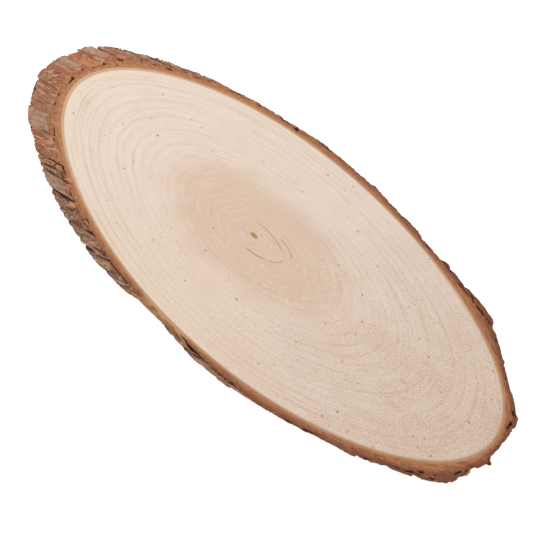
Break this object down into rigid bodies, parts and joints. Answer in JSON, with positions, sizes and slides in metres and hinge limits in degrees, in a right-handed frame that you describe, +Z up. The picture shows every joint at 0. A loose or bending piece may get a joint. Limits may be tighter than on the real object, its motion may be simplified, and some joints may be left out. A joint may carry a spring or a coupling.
{
  "type": "wood slice",
  "caption": "Oval slice of tree trunk, sawn slantwise with its rough bark left on; a flat blank for serving, craft or display.",
  "frame": {"origin": "on the underside, below the middle of the slice's box", "axes": "+X along the oval's long axis, towards the end whose bark is undercut; +Y across the oval; +Z up, out of the upper sawn face"},
  "size_m": [0.3584, 0.1462, 0.01],
  "materials": {
    "wood": "sanded, unfinished pale wood",
    "bark": "rough, dry, scaly bark"
  },
  "bodies": {
    "root": {"wood_slice": "wood"}
  },
  "joints": []
}
